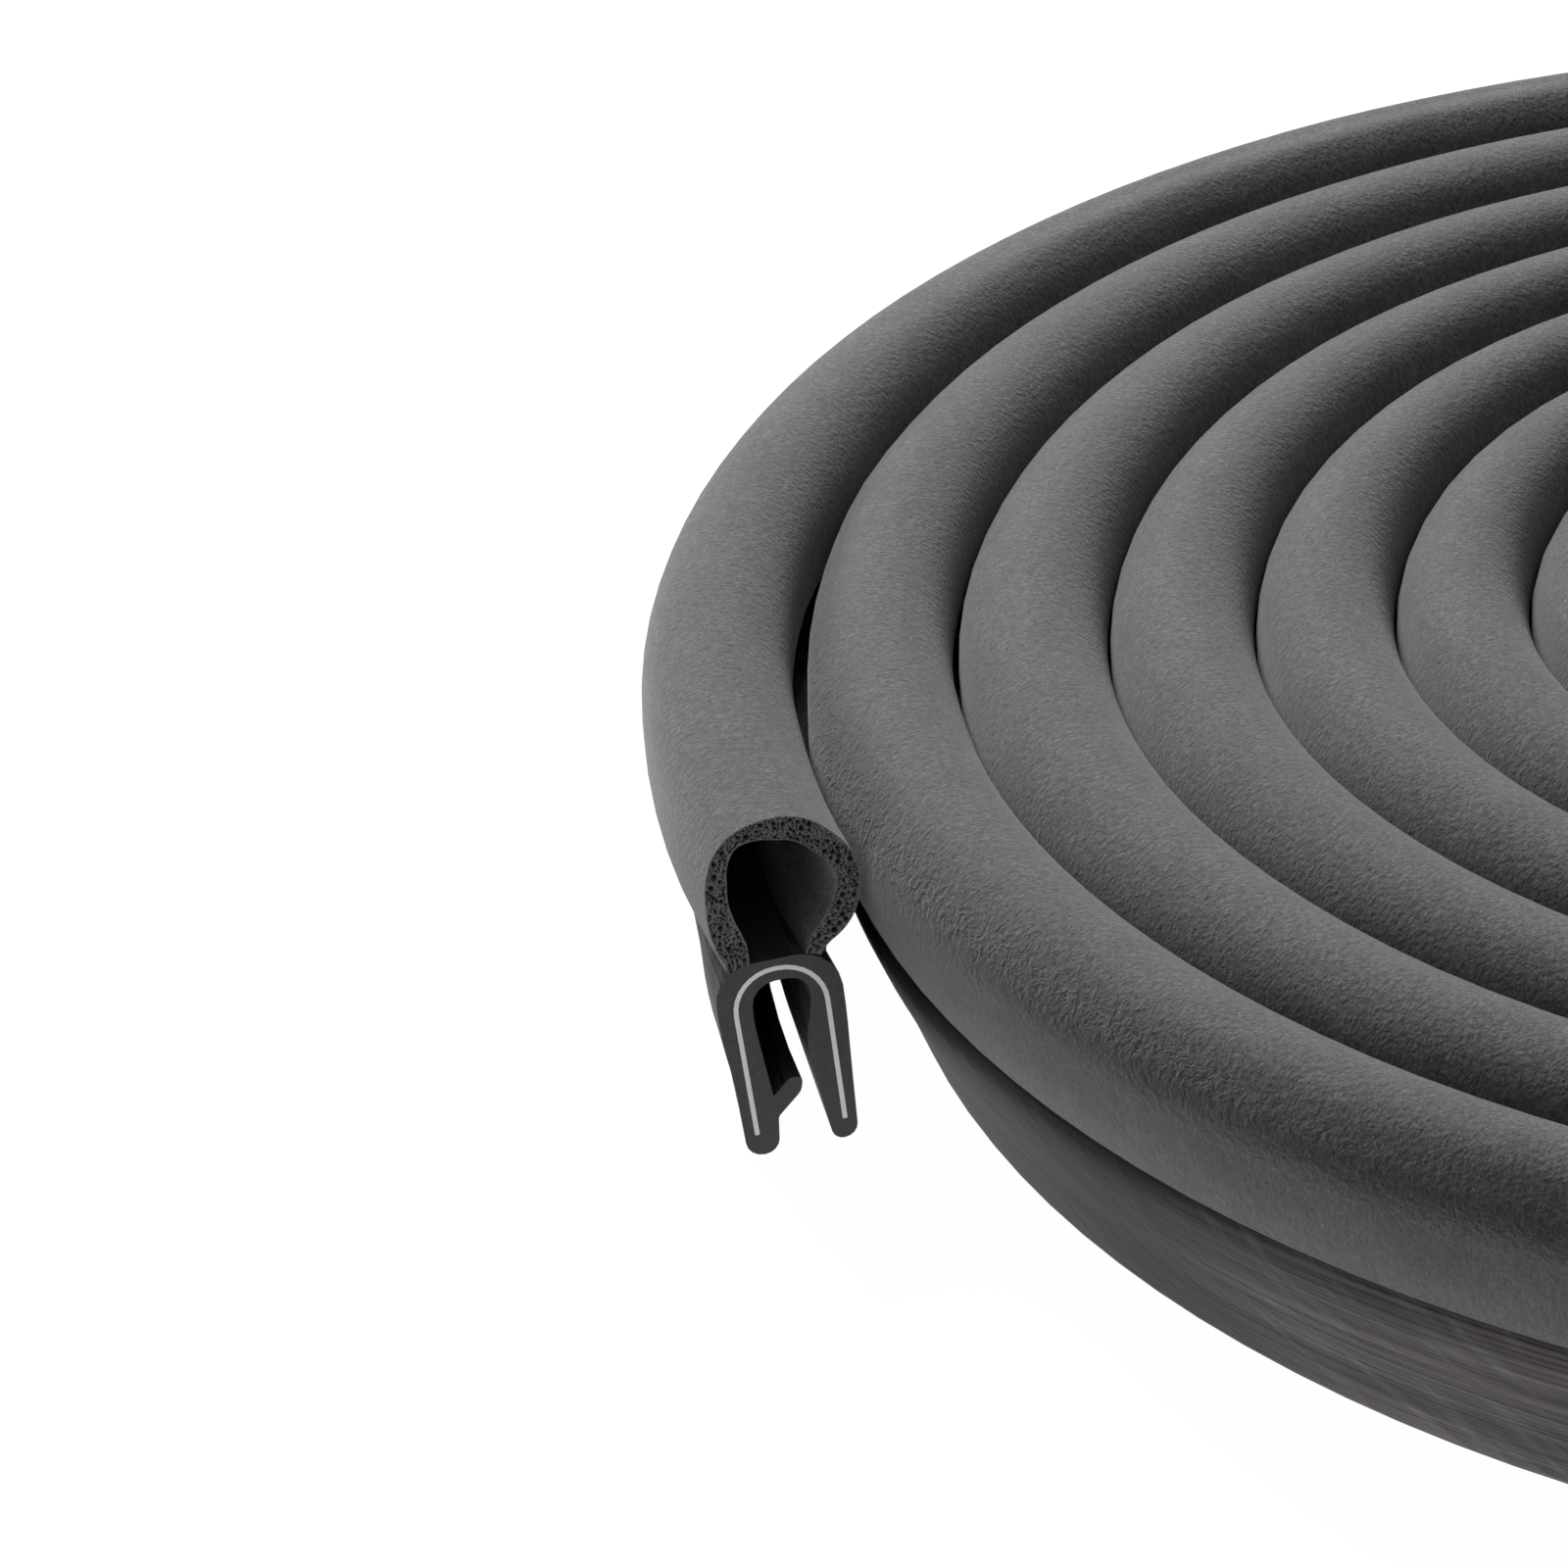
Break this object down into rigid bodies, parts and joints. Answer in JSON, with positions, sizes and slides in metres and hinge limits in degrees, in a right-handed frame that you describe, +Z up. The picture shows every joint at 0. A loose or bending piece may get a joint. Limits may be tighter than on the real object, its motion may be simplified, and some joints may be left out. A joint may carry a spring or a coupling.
{
  "type": "bulb trim seal",
  "caption": "Hollow sponge bulb on a U-shaped rubber grip channel with a steel core, wound into a flat coil; it seals a door or hatch and covers a panel's edge.",
  "frame": {"origin": "the middle of the coil's box, on the floor that the legs stand on", "axes": "+Z up, from the legs to the bulb; -Y towards the picture's viewer, and the cut end is at the left, facing -Y"},
  "size_m": [0.2396, 0.2328, 0.0299],
  "materials": {
    "sponge_rubber": "matt sponge rubber with a closed skin",
    "dense_rubber": "matt dense rubber",
    "core_steel": "bare cut steel"
  },
  "bodies": {
    "root": {"sponge_bulb": "sponge_rubber", "grip_channel": "dense_rubber", "metal_core": "core_steel"}
  },
  "joints": []
}
